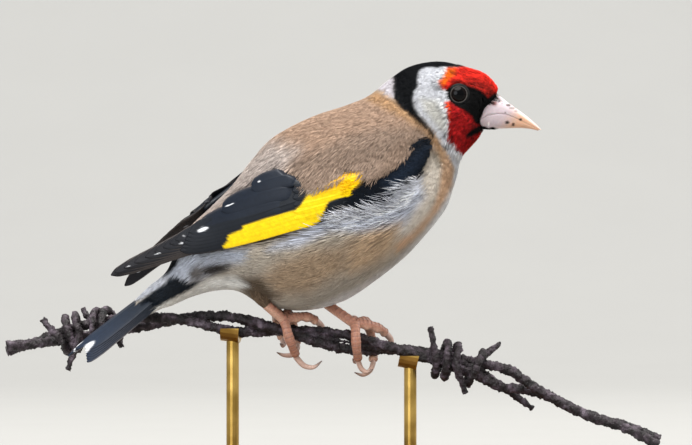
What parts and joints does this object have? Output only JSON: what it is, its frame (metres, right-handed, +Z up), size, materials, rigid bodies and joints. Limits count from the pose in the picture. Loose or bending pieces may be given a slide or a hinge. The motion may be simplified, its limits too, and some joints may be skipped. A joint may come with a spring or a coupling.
{
  "type": "european goldfinch on a barbed wire perch",
  "caption": "Life-size still model of an adult goldfinch gripping a cut length of twisted barbed wire, held by short rods over a flat display base.",
  "frame": {"origin": "middle of the display base's underside", "axes": "+Z up, +X the way the bird faces, -Y its right side"},
  "size_m": [0.157, 0.066, 0.0995],
  "materials": {
    "plumage_head": "soft feathers",
    "plumage_body": "soft feathers",
    "feather_black": "sleek flight feathers",
    "bill": "smooth horn",
    "eye": "wet gloss",
    "leg_skin": "scaly skin",
    "claw": "smooth horn",
    "rusty_wire": "pitted rust",
    "base_wood": "satin dark stain",
    "rod_brass": "satin"
  },
  "bodies": {
    "root": {"head": "plumage_head", "neck": "plumage_head", "torso": "plumage_body", "thigh_right": "plumage_body", "thigh_left": "plumage_body", "tail": "feather_black", "wing_right": "feather_black", "wing_left": "feather_black", "bill_upper": "bill", "bill_lower": "bill", "eye_right": "eye", "eye_left": "eye", "tarsus_right": "leg_skin", "tarsus_left": "leg_skin", "foot_right": "leg_skin", "foot_left": "leg_skin", "claw_right_1": "claw", "claw_right_2": "claw", "claw_right_3": "claw", "claw_right_4": "claw", "claw_left_1": "claw", "claw_left_2": "claw", "claw_left_3": "claw", "claw_left_4": "claw", "perch_strand_1": "rusty_wire", "perch_strand_2": "rusty_wire", "perch_barb_1": "rusty_wire", "perch_barb_2": "rusty_wire", "perch_barb_3": "rusty_wire", "perch_barb_4": "rusty_wire", "stand_base": "base_wood", "stand_rod_1": "rod_brass", "stand_rod_2": "rod_brass"}
  },
  "joints": []
}
